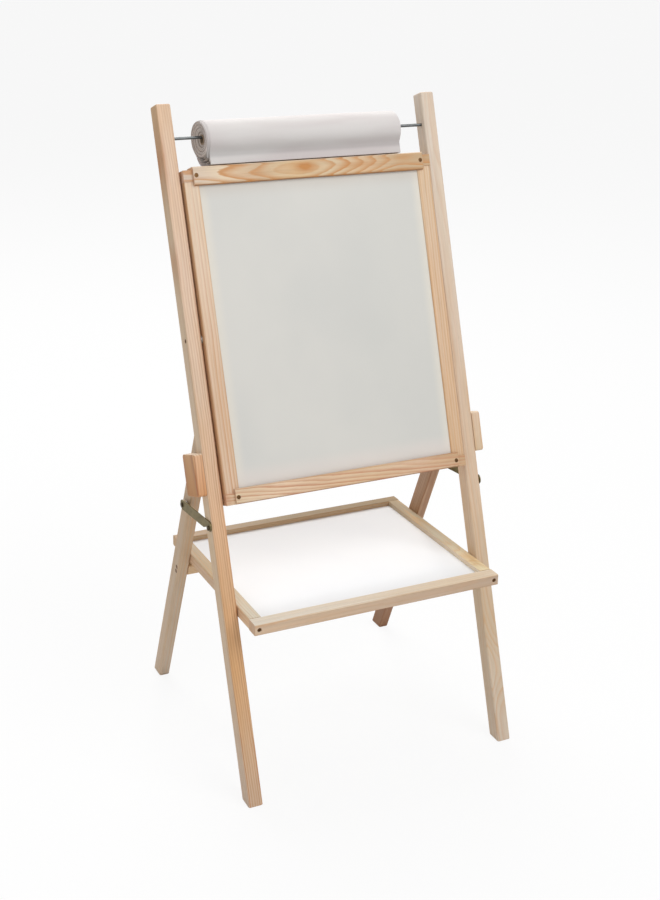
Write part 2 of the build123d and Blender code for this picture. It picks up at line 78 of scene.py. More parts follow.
def middle(node):
    """The middle of a CAD node's box."""
    low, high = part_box(node)
    return (low + high) / 2


def span(node, way):
    """How far a CAD node reaches along a direction."""
    reaches = [vertex.co.dot(way) for vertex in frame["nodes"][node].data.vertices]
    return max(reaches) - min(reaches)


def turned(along, out):
    """The turn that brings x onto a bar's length and z onto the way its face looks."""
    return Matrix((along, out.cross(along), out)).transposed()


def paint(red, green, blue):
    """A colour from its usual 0 to 255 values."""
    steps = [value / 255 for value in (red, green, blue)]
    linear = [s / 12.92 if s <= 0.04045 else ((s + 0.055) / 1.055) ** 2.4 for s in steps]
    return (*linear, 1.0)


# ------------------------------------------------------------------ camera, light and floor
def look_through(place, yaw, pitch, roll, lens):
    """Stand the camera at a place, turned by yaw and pitch and rolled about its own axis."""
    yaw, pitch, roll = (math.radians(angle) for angle in (yaw, pitch, roll))
    data = bpy.data.cameras.new("camera")
    data.sensor_fit = "VERTICAL"
    data.sensor_height = 24
    data.lens = lens
    level = Vector((-math.sin(yaw), math.cos(yaw), 0))
    side = Vector((math.cos(yaw), math.sin(yaw), 0))
    ahead = level * math.cos(pitch) + Vector((0, 0, math.sin(pitch)))
    above = side.cross(ahead)
    right = side * math.cos(roll) + above * math.sin(roll)
    top = above * math.cos(roll) - side * math.sin(roll)
    camera = bpy.data.objects.new("camera", data)
    camera.matrix_world = Matrix.Translation(place) @ Matrix((right, top, -ahead)).transposed().to_4x4()
    bpy.context.scene.collection.objects.link(camera)
    bpy.context.scene.camera = camera


def soft_light(name, place, target, size, power):
    """A square studio light aimed at a point."""
    data = bpy.data.lights.new(name, "AREA")
    data.size = size
    data.energy = power
    lamp = bpy.data.objects.new(name, data)
    lamp.location = place
    lamp.rotation_euler = (Vector(target) - Vector(place)).to_track_quat("-Z", "Y").to_euler()
    bpy.context.scene.collection.objects.link(lamp)


HALF_HEIGHT = (0, 0, 0.5)

bpy.context.scene.view_settings.view_transform = "Standard"
look_through((-0.9472, -1.9337, 1.3380), yaw=-26.14, pitch=-21.75, roll=1.24, lens=37.73)
soft_light("key_light", (1.3, -2.5, 3.1), HALF_HEIGHT, size=2.6, power=64)
soft_light("fill_light", (-2.8, -1.6, 1.5), HALF_HEIGHT, size=2.4, power=13)
soft_light("back_light", (0.2, 2.2, 3.4), HALF_HEIGHT, size=2.4, power=84)


# ------------------------------------------------------------------ materials: the tools
class Wire:
    """A node's output that can be used in ordinary sums."""

    def __init__(self, finish, socket):
        self.finish = finish
        self.socket = socket

    def sum(self, operation, *values):
        """A Math node's operation on values or other wires."""
        return self.finish.add("ShaderNodeMath", {"operation": operation}, dict(enumerate(values)))

    def __add__(self, other):
        return self.sum("ADD", self, other)

    def __sub__(self, other):
        return self.sum("SUBTRACT", self, other)

    def __rsub__(self, other):
        return self.sum("SUBTRACT", other, self)

    def __mul__(self, other):
        return self.sum("MULTIPLY", self, other)

    def __truediv__(self, other):
        return self.sum("DIVIDE", self, other)

    def __pow__(self, other):
        return self.sum("POWER", self, other)

    def __abs__(self):
        return self.sum("ABSOLUTE", self)

    __radd__ = __add__
    __rmul__ = __mul__

    def floor(self):
        return self.sum("FLOOR", self)

    def fract(self):
        return self.sum("FRACT", self)

    def exp(self):
        return self.sum("EXPONENT", self)

    def at_least(self, low):
        return self.sum("MAXIMUM", self, low)

    def at_most(self, high):
        return self.sum("MINIMUM", self, high)


class Finish:
    """A material that is put together node by node."""

    def __init__(self, name, metallic=0.0):
        self.material = bpy.data.materials.new(name)
        self.material.use_nodes = True
        self.tree = self.material.node_tree
        self.shader = self.tree.nodes["Principled BSDF"]
        self.shader.inputs["Metallic"].default_value = metallic

    def add(self, kind, settings=None, sockets=None, out=0):
        """Add any node: its settings first, then the values or links of its sockets."""
        node = self.tree.nodes.new(kind)
        for key, value in (settings or {}).items():
            if key == "stops":
                self.set_stops(node.color_ramp, value)
            else:
                setattr(node, key, value)
        for key, value in (sockets or {}).items():
            self.join(value, node.inputs[key])
        return Wire(self, node.outputs[out])

    def set_stops(self, ramp, stops):
        """Give a ramp its stops, each a place with a grey level or a colour."""
        while len(ramp.elements) < len(stops):
            ramp.elements.new(0.5)
        for element, (place, level) in zip(ramp.elements, stops):
            element.position = place
            element.color = level if isinstance(level, tuple) else (level, level, level, 1)

    def join(self, value, socket):
        """Link a wire to a socket, or set the socket to a plain value."""
        if isinstance(value, Wire):
            self.tree.links.new(value.socket, socket)
        else:
            socket.default_value = value

    def give(self, **values):
        """Drive the surface's own sockets, such as Base_Color."""
        for key, value in values.items():
            self.join(value, self.shader.inputs[key.replace("_", " ")])
        return self.material

    def place(self, centre=(0, 0, 0), turn=None):
        """Object coordinates seen from a centre and a turn of the piece's own."""
        own = self.add("ShaderNodeTexCoord", out="Object")
        angles = turn.to_euler() if turn else (0, 0, 0)
        sockets = {"Vector": own, "Location": centre, "Rotation": angles}
        return self.add("ShaderNodeMapping", {"vector_type": "TEXTURE"}, sockets)

    def facing(self, direction):
        """How far the surface looks along a direction, from -1 to 1."""
        normal = self.add("ShaderNodeTexCoord", out="Normal")
        settings = {"operation": "DOT_PRODUCT"}
        return self.add("ShaderNodeVectorMath", settings, {0: normal, 1: direction}, out="Value")

    def parts(self, vector):
        """A vector's x, y and z."""
        return [self.add("ShaderNodeSeparateXYZ", None, {0: vector}, out=i) for i in range(3)]

    def stretch(self, vector, scale, shift=0.0):
        """Coordinates with their own scale on each axis, moved aside so that no two pieces match."""
        sockets = {"Vector": vector, "Scale": scale, "Location": (shift, shift * 0.7, 0)}
        return self.add("ShaderNodeMapping", None, sockets)

    def cloud(self, vector, detail=2.0, roughness=0.5):
        """Smooth noise about 0.5, one lump to a unit."""
        sockets = {"Vector": vector, "Scale": 1.0, "Detail": detail, "Roughness": roughness}
        return self.add("ShaderNodeTexNoise", None, sockets)

    def ramp(self, value, *stops):
        """Greys or colours that a value runs through, by the places of the stops."""
        return self.add("ShaderNodeValToRGB", {"stops": stops}, {0: value})

    def step(self, value, low, high):
        """0 below low, 1 above high and smooth between."""
        sockets = {"Value": value, "From Min": low, "From Max": high}
        return self.add("ShaderNodeMapRange", {"interpolation_type": "SMOOTHSTEP"}, sockets)

    def mix(self, first, second, share, way="MIX"):
        """The second colour laid over the first, by its share."""
        settings = {"data_type": "RGBA", "blend_type": way}
        return self.add("ShaderNodeMix", settings, {"Factor": share, 6: first, 7: second}, out=2)

    def grey(self, level):
        """A grey of a level, as a colour."""
        return self.add("ShaderNodeCombineColor", None, {0: level, 1: level, 2: level})

    def relief(self, height, strength, distance):
        """Raise the surface by a height field."""
        sockets = {"Strength": strength, "Distance": distance, "Height": height}
        self.give(Normal=self.add("ShaderNodeBump", None, sockets))


def dress(material, *names):
    """Give a material to CAD nodes."""
    for name in names:
        mesh = frame["nodes"][name].data
        mesh.materials.clear()
        mesh.materials.append(material)


# ------------------------------------------------------------------ materials: floor and surroundings
WORLD_LIGHT = 0.44
FLOOR_GLOW = 0.88


def set_world():
    """A white surround for the eye and for reflections, and a plain grey one for light."""
    world = bpy.data.worlds.new("studio")
    world.use_nodes = True
    bpy.context.scene.world = world
    nodes, links = world.node_tree.nodes, world.node_tree.links
    path = nodes.new("ShaderNodeLightPath")
    seen = path.outputs["Is Camera Ray"]
    for ray in ("Is Glossy Ray", "Is Transmission Ray"):
        either = nodes.new("ShaderNodeMath")
        either.operation = "MAXIMUM"
        links.new(seen, either.inputs[0])
        links.new(path.outputs[ray], either.inputs[1])
        seen = either.outputs[0]
    strength = nodes.new("ShaderNodeMapRange")
    strength.inputs["To Min"].default_value = WORLD_LIGHT
    strength.inputs["To Max"].default_value = 1.0
    links.new(seen, strength.inputs["Value"])
    surround = nodes["Background"]
    surround.inputs["Color"].default_value = (1, 1, 1, 1)
    links.new(strength.outputs[0], surround.inputs["Strength"])


def floor_finish():
    """White paper sweep: it keeps the object's shadow and reads as white."""
    finish = Finish("floor_white")
    finish.give(Base_Color=paint(240, 240, 240), Roughness=0.9)
    glow = finish.add("ShaderNodeEmission", None, {"Color": (1, 1, 1, 1), "Strength": 1.0})
    seen = finish.add("ShaderNodeLightPath", out="Is Camera Ray")
    paper = Wire(finish, finish.shader.outputs[0])
    blend = finish.add("ShaderNodeMixShader", None, {0: seen * FLOOR_GLOW, 1: paper, 2: glow})
    finish.join(blend, finish.tree.nodes["Material Output"].inputs["Surface"])
    return finish.material


def clear_selection():
    """Deselect everything, so that an operator acts on nothing by chance."""
    bpy.ops.object.select_all(action="DESELECT")
    bpy.context.view_layer.objects.active = None


def lay_floor():
    """The floor, a hair below the feet."""
    clear_selection()
    below = (0, 0, -0.2 * MM)
    bpy.ops.mesh.primitive_grid_add(x_subdivisions=8, y_subdivisions=8, size=60, location=below)
    floor = bpy.context.object
    floor.name = "floor"
    floor.data.materials.append(floor_finish())


set_world()
lay_floor()


# ------------------------------------------------------------------ wood
AMBER = (198, 144, 90)
UMBER = paint(138, 96, 62)
HONEY = (0.97, 0.90, 0.80, 1)
# a darker tone along a bar's long edges
EDGE_DARKENING = (0.93, 0.86, 0.76, 1)
# painted light: the pale colour of the tops of rails and blocks, lit from above
PAINTED_TOP_LIGHT = ((240, 226, 206), (236, 220, 198))
# painted shade: the dark brown of rail undersides, where shade falls under them
PAINTED_UNDERSIDE_SHADE = ((156, 114, 80), (156, 114, 80))
RIPPLE = 1.6 * MM
# how far from a bar's edge its darkening starts, and how near to it the darkening is full
EDGE_DARK_STARTS, EDGE_DARK_FULL = 3.2 * MM, 0.4 * MM


def shades(colours):
    """The stops of a bar's colours, evenly spaced from its lower or left end to the other."""
    return [(i / (len(colours) - 1), paint(*colour)) for i, colour in enumerate(colours)]


def year_rings(finish, own, ripple, seed, pith, ring, tilt, sway, eyes):
    """The dark late-wood lines of rings about the pith, from 0 to 1, some years darker than others."""
    x, y, z = finish.parts(own)
    wander = finish.cloud(finish.stretch(own, (3.0, 16, 16), seed), 2.0) - 0.5
    radius = ((y - pith[0]) ** 2 + (z - pith[1]) ** 2) ** 0.5
    radius = radius + x * tilt + wander * sway + ripple * RIPPLE
    for spot, reach, rise in eyes:
        gap = (x - spot) / reach
        radius = radius + (gap * gap * -1.0).exp() * rise
    phase = radius / ring
    year = finish.add("ShaderNodeTexWhiteNoise", {"noise_dimensions": "1D"}, {"W": phase.floor()})
    line = finish.ramp(
        phase.fract(), (0.0, 0.0), (0.30, 0.08), (0.62, 0.55), (0.86, 1.0), (0.96, 0.45), (1.0, 0.0)
    )
    return line * (0.35 + year * 0.65)


def ground_colour(finish, place, ground, faces):
    """A bar's colours from end to end, and painted light and shade: lit and shaded colours on faces that look
    one way.
    """
    colour = finish.ramp(place, *shades(ground))
    # painted light and shade, by the way each face looks
    for direction, face_shade in faces:
        seen = finish.step(finish.facing(direction), 0.40, 0.85)
        colour = finish.mix(colour, finish.ramp(place, *shades(face_shade)), seen)
    return colour


def darker_edges(finish, own, width, thick):
    """1 along a bar's four long edges, where the wood is darker, and 0 on its faces."""
    _, y, z = finish.parts(own)
    near_side = finish.step(abs(y), width / 2 - EDGE_DARK_STARTS, width / 2 - EDGE_DARK_FULL)
    near_face = finish.step(abs(z), thick / 2 - EDGE_DARK_STARTS, thick / 2 - EDGE_DARK_FULL)
    return near_side * near_face


def pine(
    node, along, out, ground, seed, pith=(0.012, -0.045), ring=0.0026, late=AMBER, depth=0.6, deepen=0.0,
    tilt=0.004, sway=0.010, warmth=0.7, eyes=(), stains=(), faces=(), ends=1.0,
):
    """Dress a node in pine sawn from a log, with year rings wherever its faces cut them.

    along is the way the bar runs and out the way its face looks; ground is its colours from end to
    end; seed sets its clouds apart from the next bar's; pith is the pith's place beside the bar and
    ring the rings' spacing; late is the late wood's colour, depth its strength and deepen the
    strength's change along the bar; tilt is how the pith runs off along the bar and sway how the
    grain wanders; warmth is the strength of the broad warm clouds; eyes are places where the rings
    rise in an eye, each with its reach and rise; stains are resin stains by place, place aside,
    reach, spread and strength; faces are painted light and shade, lit and shaded colours on faces
    that look one way; ends is how dark the end grain is.
    """
    finish = Finish("pine_" + node)
    own = finish.place(middle(node), turned(along, out))
    x, y, _ = finish.parts(own)
    late_wood = paint(*late)

    ripple = finish.cloud(finish.stretch(own, (26, 120, 120), seed + 3), 3.0) - 0.5
    line = year_rings(finish, own, ripple, seed, pith, ring, tilt, sway, eyes)
    colour = ground_colour(finish, x / span(node, along) + 0.5, ground, faces)
    clouds = finish.step(finish.cloud(finish.stretch(own, (7, 60, 60), seed + 7), 3.0), 0.34, 0.68)
    colour = finish.mix(colour, HONEY, clouds * warmth, "MULTIPLY")
    for spot, aside, reach, spread, share in stains:
        gap, drop = (x - spot) / reach, (y - aside) / spread
        stain = ((gap * gap + drop * drop + ripple * 1.6) * -1.0).exp()
        colour = finish.mix(colour, late_wood, stain * share)
    ink = (line * (depth + x * deepen)).at_least(0.0).at_most(0.9)
    colour = finish.mix(colour, late_wood, ink)

    streak = finish.cloud(finish.stretch(own, (9, 300, 300), seed + 9), 3.0, 0.6)
    fibre = finish.cloud(finish.stretch(own, (16, 800, 800), seed + 11), 4.0, 0.6)
    fleck = finish.step(finish.cloud(finish.stretch(own, (55, 1500, 1500), seed + 17), 2.0), 0.62, 0.78)
    colour = finish.mix(colour, UMBER, fleck * 0.22)
    colour = finish.mix(colour, finish.grey(0.76 + streak * 0.26 + fibre * 0.22), 1.0, "MULTIPLY")

    end = finish.step(abs(finish.facing(along)), 0.72, 0.92)
    end_grain = finish.mix(late_wood, UMBER, 0.25)
    colour = finish.mix(colour, end_grain, end * (0.16 + line * 0.5) * ends)
    edge_dark = darker_edges(finish, own, span(node, out.cross(along)), span(node, out)) * (1 - end)
    colour = finish.mix(colour, EDGE_DARKENING, edge_dark * 0.6, "MULTIPLY")
    finish.relief(fibre * 0.5 + line * 0.5, 0.25, 0.4 * MM)
    dress(finish.give(Base_Color=colour, Roughness=0.66 - line * 0.12 - fibre * 0.06), node)


# In these calls, faces holds painted light and shade: pale lit tops, dark undersides, and lit or shaded
# sides.
pine(
    "left_upright", UP_FRONT, OUT_FRONT, seed=1.3, pith=(0.050, -0.045), late=(178, 112, 62),
    ground=(
        (205, 179, 153), (218, 175, 127), (222, 183, 146), (226, 200, 175), (232, 207, 185), (229, 200, 172),
    ),
    depth=0.72, deepen=-0.60, tilt=0.006,
    stains=((0.455, 0.011, 0.05, 0.005, 0.55), (0.30, 0.011, 0.03, 0.004, 0.4)),
    faces=((-ACROSS, (
        (204, 188, 169), (208, 191, 168), (214, 196, 168), (213, 193, 167), (209, 190, 163), (201, 172, 137),
    )),),
)
pine(
    "right_upright", UP_FRONT, OUT_FRONT, seed=4.1, pith=(-0.016, -0.030), ring=0.0034,
    ground=(
        (207, 191, 173), (204, 185, 160), (215, 190, 164), (216, 194, 172), (221, 206, 190), (222, 209, 195),
    ),
    depth=0.40, deepen=-0.20, tilt=-0.012, sway=0.016, eyes=((-0.42, 0.05, 0.012),),
)
pine(
    "board_top_rail", ACROSS, OUT_FRONT, seed=7.7, pith=(0.001, -0.013), ring=0.0030, late=(196, 134, 72),
    ground=(
        (214, 198, 184), (231, 211, 184), (209, 182, 150), (222, 196, 156),
        (217, 198, 166), (218, 188, 152), (201, 176, 143), (197, 169, 134),
    ),
    depth=1.10, tilt=0.012, sway=0.016, warmth=0.5, eyes=((-0.012, 0.10, -0.011), (0.155, 0.05, 0.004)),
    stains=(
        (-0.012, 0.0, 0.022, 0.008, 1.1), (0.075, -0.002, 0.040, 0.005, 0.6),
        (-0.100, -0.006, 0.030, 0.004, 0.35), (0.160, 0.004, 0.020, 0.004, 0.4),
    ),
    faces=((-UP_FRONT, PAINTED_UNDERSIDE_SHADE), (UP_FRONT, PAINTED_TOP_LIGHT)),
)
pine(
    "board_bottom_rail", ACROSS, OUT_FRONT, seed=9.2, pith=(0.030, -0.030), ring=0.0034, late=(188, 122, 86),
    ground=(
        (223, 204, 175), (233, 207, 177), (224, 195, 162), (222, 196, 163), (217, 188, 160), (199, 167, 129),
    ),
    depth=0.90, tilt=-0.050, sway=0.012, stains=((-0.214, 0.0, 0.010, 0.014, 0.6),),
    faces=((-UP_FRONT, PAINTED_UNDERSIDE_SHADE),),
)
pine(
    "board_left_stile", UP_FRONT, OUT_FRONT, seed=2.6, pith=(0.060, -0.020), ring=0.0050, late=(196, 132, 84),
    ground=((220, 193, 166), (220, 193, 167), (230, 205, 180), (231, 211, 188)),
    depth=0.62, deepen=-1.2, sway=0.006, faces=((-ACROSS, ((196, 160, 124), (196, 160, 124))),),
)
pine(
    "board_right_stile", UP_FRONT, OUT_FRONT, seed=5.4, pith=(-0.060, -0.024), ring=0.0040,
    ground=((213, 181, 147), (219, 189, 159), (221, 192, 163), (223, 199, 170)),
    tilt=0.005, sway=0.006,
)
pine(
    "left_rear_leg", UP_REAR, OUT_REAR, seed=3.9, pith=(0.034, -0.020), ring=0.0038,
    ground=((201, 184, 165), (193, 174, 151), (190, 167, 140)), depth=0.50, sway=0.016,
)
# painted shadow: this leg's colours are browner than the other leg's and darkest at its foot, where the tray
# shades it
pine(
    "right_rear_leg", UP_REAR, OUT_REAR, seed=6.8, pith=(0.010, -0.034), ring=0.0034, late=(140, 92, 58),
    ground=((142, 104, 76), (178, 146, 118), (184, 150, 122)),
    depth=0.80, sway=0.018, stains=((0.0, 0.0, 0.60, 0.0035, 0.45),),
)
pine(
    "rear_crossbar", ACROSS, OUT_REAR, seed=8.3, pith=(0.030, -0.016), ring=0.0030,
    ground=((213, 185, 150), (207, 181, 148)), sway=0.012,
)
pine(
    "tray_front_rail", ACROSS, -TRAY_BACK, seed=12.4, pith=(0.010, -0.050), ring=0.0030,
    ground=((212, 189, 166), (202, 177, 153), (190, 168, 148)), depth=0.50, tilt=0.012, sway=0.012,
    faces=((TRAY_UP, ((229, 223, 209), (229, 215, 194))), (-TRAY_UP, PAINTED_UNDERSIDE_SHADE)),
)
pine(
    "tray_rear_rail", ACROSS, -TRAY_BACK, seed=13.1, pith=(0.028, -0.030), ring=0.0032,
    ground=((197, 174, 142), (186, 164, 136)), depth=0.55,
    faces=((TRAY_UP, ((194, 172, 147), (156, 144, 120), (145, 126, 95))),),
)
pine(
    "tray_left_rail", TRAY_BACK, TRAY_UP, seed=14.6, pith=(-0.030, -0.024), ring=0.0034,
    ground=((216, 211, 194), (188, 169, 136), (193, 181, 159)), depth=0.55, sway=0.012,
    faces=((-ACROSS, ((226, 197, 166), (203, 177, 149), (211, 181, 152))),),
)
pine(
    "tray_right_rail", TRAY_BACK, TRAY_UP, seed=15.2, pith=(0.006, -0.024), ring=0.0034, late=(206, 156, 92),
    ground=((236, 220, 182), (198, 186, 162), (170, 152, 123)), tilt=0.020, sway=0.014,
    eyes=((-0.10, 0.03, 0.008),), stains=((-0.115, 0.0, 0.022, 0.010, 0.5),),
    faces=((-ACROSS, ((246, 238, 220), (211, 196, 174), (177, 165, 143))),),
)
pine(
    "left_cheek_block", UP_FRONT, OUT_FRONT, seed=16.9, pith=(-0.050, 0.0), ring=0.0044, late=(164, 102, 60),
    ground=((212, 157, 110), (230, 190, 155)), depth=0.95, sway=0.008, ends=0.2,
    faces=((-ACROSS, ((184, 131, 78), (200, 157, 113))), (UP_FRONT, PAINTED_TOP_LIGHT)),
)
pine(
    "right_cheek_block", UP_FRONT, OUT_FRONT, seed=17.5, pith=(0.050, -0.010), ring=0.0048,
    ground=((214, 192, 163), (223, 199, 176)), depth=0.45, sway=0.008, ends=0.3,
    faces=((UP_FRONT, PAINTED_TOP_LIGHT),),
)
pine(
    "frame_dowels", ACROSS, OUT_FRONT, seed=18.8, ring=0.0015,
    ground=((222, 192, 160), (222, 192, 160)), depth=0.30,
)
pine(
    "pivot_plugs", UP_FRONT, ACROSS, seed=19.9, pith=(0.050, 0.0), ring=0.0040, late=(160, 104, 64),
    ground=((204, 152, 110), (204, 152, 110)),
)


# ------------------------------------------------------------------ board, tray panel
# how far from the board's middle its painted bands are full: to each side and down a painted reflection of
# the frame, and up the top rail's painted shadow
BOARD_ASIDE, BOARD_DOWN, BOARD_UP = 189.5 * MM, 223.5 * MM, 233.5 * MM
# how wide the painted reflection at its sides is, and the painted bands at its foot and head
SIDE_REFLECTION_WIDTH, END_BAND_WIDTH = 19.5 * MM, 28.5 * MM


def enamel(finish, own):
    """The board's white face: painted shade to the right, painted reflections of the frame at its rim and
    foot, and the top rail's painted shadow at its head.
    """
    x, y, _ = finish.parts(own)
    mist = finish.cloud(finish.stretch(own, (5, 4, 4), 2.0), 3.0)
    band_mottle = finish.cloud(finish.stretch(own, (14, 14, 14), 5.0), 2.0) * 0.5
    # masks of painted light: a warm painted reflection of the frame along the sides and foot, and the top
    # rail's painted shadow at the head
    rim = finish.step(abs(x), BOARD_ASIDE - SIDE_REFLECTION_WIDTH, BOARD_ASIDE)
    foot_reflection = finish.step(y, END_BAND_WIDTH - BOARD_DOWN, -BOARD_DOWN)
    head = finish.step(y, BOARD_UP - END_BAND_WIDTH, BOARD_UP)
    face = finish.mix(paint(215, 213, 207), paint(209, 208, 203), finish.step(mist, 0.35, 0.7))
    # painted shade: a little greyer towards the right
    face = finish.mix(face, paint(202, 202, 197), finish.step(x, -0.06, 0.18) * 0.45)
    face = finish.mix(face, paint(230, 223, 208), rim * (0.35 + band_mottle))
    face = finish.mix(face, paint(226, 216, 209), foot_reflection * (0.35 + band_mottle))
    # painted shadow of the top rail across the board's head
    return finish.mix(face, paint(202, 194, 184), head * (0.30 + band_mottle))


def board_finish():
    """White enamel on the front, with dry-wipe streaks in its gloss, and bare hardboard behind."""
    finish = Finish("dry_wipe_board")
    own = finish.place(middle("board_panel"), turned(ACROSS, OUT_FRONT))
    wipe = finish.cloud(finish.stretch(own, (9, 130, 10), 9.0), 4.0, 0.6)
    fibre = finish.cloud(finish.stretch(own, (900, 260, 900), 1.0), 4.0, 0.7)
    speck = finish.cloud(finish.stretch(own, (460, 460, 460), 4.0), 3.0)
    back = finish.mix(paint(122, 84, 54), paint(160, 118, 80), fibre)
    back = finish.mix(back, paint(96, 64, 42), finish.step(speck, 0.55, 0.75) * 0.35)
    front = finish.step(finish.facing(OUT_FRONT), 0.5, 0.9)
    finish.relief((1 - front) * fibre, 0.3, 0.4 * MM)
    return finish.give(
        Base_Color=finish.mix(back, enamel(finish, own), front),
        Roughness=0.82 - front * 0.42 + front * wipe * 0.10,
    )


def tray_panel_finish():
    """Plain white melamine board, its underside a little greyer."""
    finish = Finish("tray_melamine")
    own = finish.place(middle("tray_panel"))
    mottle = finish.cloud(finish.stretch(own, (12, 12, 12), 1.0), 3.0)
    grain = finish.cloud(finish.stretch(own, (900, 900, 900), 2.0), 2.0)
    under = finish.step(finish.facing(-TRAY_UP), 0.4, 0.9)
    colour = finish.mix(paint(240, 241, 241), paint(236, 237, 239), mottle)
    colour = finish.mix(colour, paint(226, 226, 222), under)
    finish.relief(grain, 0.04, 0.2 * MM)
    return finish.give(Base_Color=colour, Roughness=0.50 + mottle * 0.12)


dress(board_finish(), "board_panel")
dress(tray_panel_finish(), "tray_panel")


# ------------------------------------------------------------------ metal
GRIME = paint(60, 52, 44)


def metal(name, light, dark, roughness, along=(1, 1, 1), grime=0.3):
    """Drawn or plated steel: fine lines, longer where along says, cloudy plating and a little grime."""
    finish = Finish(name, metallic=1.0)
    own = finish.place()
    lines = finish.cloud(finish.stretch(own, [900 / length for length in along], 1.0), 3.0, 0.6)
    clouds = finish.cloud(finish.stretch(own, (90, 90, 90), 2.0), 3.0)
    stain = finish.step(finish.cloud(finish.stretch(own, (230, 230, 230), 5.0), 3.0), 0.52, 0.74)
    colour = finish.mix(paint(*light), paint(*dark), clouds)
    colour = finish.mix(colour, finish.mix(paint(*dark), GRIME, 0.5), stain * grime)
    finish.relief(lines, 0.15, 0.2 * MM)
    return finish.give(Base_Color=colour, Roughness=roughness - 0.06 + lines * 0.14 + stain * 0.12)


zinc = metal("zinc_plate", (190, 192, 190), (160, 160, 156), 0.38)
rod_steel = metal("rod_steel", (120, 122, 122), (84, 88, 90), 0.36, along=(30, 1, 1))
stay_steel = metal("stay_steel", (141, 128, 91), (100, 90, 63), 0.50, along=(1, 20, 20), grime=0.5)
screw_bronze = metal("screw_bronze", (124, 92, 60), (78, 56, 38), 0.46, grime=0.6)
stud_steel = metal("stud_steel", (96, 84, 66), (64, 56, 44), 0.44, grime=0.5)
dress(rod_steel, "paper_rod")
dress(stay_steel, "left_stay", "right_stay")
dress(
    zinc, "frame_washers", "left_pivot_bolt", "right_pivot_bolt", "left_pivot_sleeve",
    "right_pivot_sleeve", "pivot_spacers", "stay_spacers", "tray_pins",
)


# ------------------------------------------------------------------ paper
ROLL_MIDDLE = middle("paper_roll")
ROLL_HALF = span("paper_roll", ACROSS) / 2
ROLL_RADIUS = 27 * MM
CORE_RADIUS = 7.85 * MM
CORE_GAP = 0.02 * MM
BORE_RADIUS = 6.25 * MM
# the left end: how far its rim stands out, how far the rim is skewed, and how far the core has slipped
RIM = 1 * MM
SKEW = 3 * MM
SLIP = 5 * MM
# the angle round the roll, from the back over the top, where the painted shade under it is darkest, and the
# radii where that shade lifts as the paper flares to the front
SHADE_ANGLE = math.radians(210)
FLARE_STARTS, FLARE_FULL = 33 * MM, 39 * MM
# how far the wound edges stray from true rings
STRAY = 0.8 * MM


def painted_shade_under_roll(finish, own):
    """How light the paper is: painted shade under the roll, less of it where the paper flares to the front.
    """
    _, y, z = finish.parts(own)
    radius = (y * y + z * z) ** 0.5
    # painted shade, strongest where the paper looks down and to the front
    under = ((y * math.cos(SHADE_ANGLE) + z * math.sin(SHADE_ANGLE)) / radius).at_least(0.0) ** 4
    flare = finish.step(radius, FLARE_STARTS, FLARE_FULL)
    return 1 - under * (0.31 - flare * 0.20)


def wound_edges(finish, own):
    """The edges of the wound turns: their unevenness and their colour, in rings about the core."""
    _, y, z = finish.parts(own)
    around = finish.cloud(finish.stretch(own, (1, 60, 60), 6.0), 2.0)
    place = (y * y + z * z) ** 0.5 + around * STRAY
    settings = {"noise_dimensions": "1D"}
    fine = finish.add("ShaderNodeTexNoise", settings, {"W": place * 1800, "Scale": 1.0, "Detail": 3.0})
    broad = finish.add("ShaderNodeTexNoise", settings, {"W": place * 460, "Scale": 1.0, "Detail": 2.0})
    shown = finish.step(fine * 0.45 + broad * 0.55, 0.36, 0.60)
    return fine + broad, finish.mix(paint(112, 98, 88), paint(206, 199, 194), shown)


def paper_finish(name, wound):
    """Off-white drawing paper with a lilac cast: painted shade under the roll, with rings on the wound ends.
    """
    finish = Finish(name)
    own = finish.place(ROLL_MIDDLE)
    band = finish.cloud(finish.stretch(own, (5, 26, 26), 2.0), 2.0)
    tooth = finish.cloud(finish.stretch(own, (1400, 1400, 1400), 3.0), 3.0)
    height = tooth * 0.6
    colour = finish.mix(paint(228, 224, 221), paint(217, 209, 207), finish.step(band, 0.36, 0.66))
    colour = finish.mix(colour, paint(206, 198, 200), tooth * 0.2)
    if wound:
        uneven, edges = wound_edges(finish, own)
        end = finish.step(abs(finish.facing(ACROSS)), 0.4, 0.8)
        colour = finish.mix(colour, edges, end)
        height = height + end * uneven * 1.5
    else:
        # the loose turns carry painted shade under the roll
        colour = finish.mix(colour, finish.grey(painted_shade_under_roll(finish, own)), 1.0, "MULTIPLY")
    finish.relief(height, 0.25, 0.3 * MM)
    return finish.give(Base_Color=colour, Roughness=0.80 + tooth * 0.1)


def core_finish():
    """Grey-brown wound card."""
    finish = Finish("card_core")
    own = finish.place(ROLL_MIDDLE)
    fibre = finish.cloud(finish.stretch(own, (300, 700, 700), 1.0), 3.0)
    colour = finish.mix(paint(134, 116, 98), paint(172, 152, 130), fibre)
    return finish.give(Base_Color=colour, Roughness=0.9)


paper_side = paper_finish("drawing_paper", wound=False)
paper_ends = paper_finish("wound_paper", wound=True)


# ------------------------------------------------------------------ modelling helpers
# edges sharper than this stay crisp
SHARP = math.radians(35)


def select_only(mesh, kind, wanted):
    """In edit mode, select just the faces, or the points, that pass a test."""
    bpy.ops.mesh.select_mode(type=kind)
    bpy.ops.mesh.select_all(action="DESELECT")
    bpy.ops.object.mode_set(mode="OBJECT")
    for item in mesh.polygons if kind == "FACE" else mesh.vertices:
        item.select = wanted(item)
    bpy.ops.object.mode_set(mode="EDIT")


def is_end_face(face):
    """Whether a face of a round blank is one of its ends: all its other faces have four corners."""
    return len(face.vertices) > 4


def pick(*pieces):
    """Select just these objects, the last of them active."""
    clear_selection()
    for piece in pieces:
        piece.select_set(True)
        bpy.context.view_layer.objects.active = piece


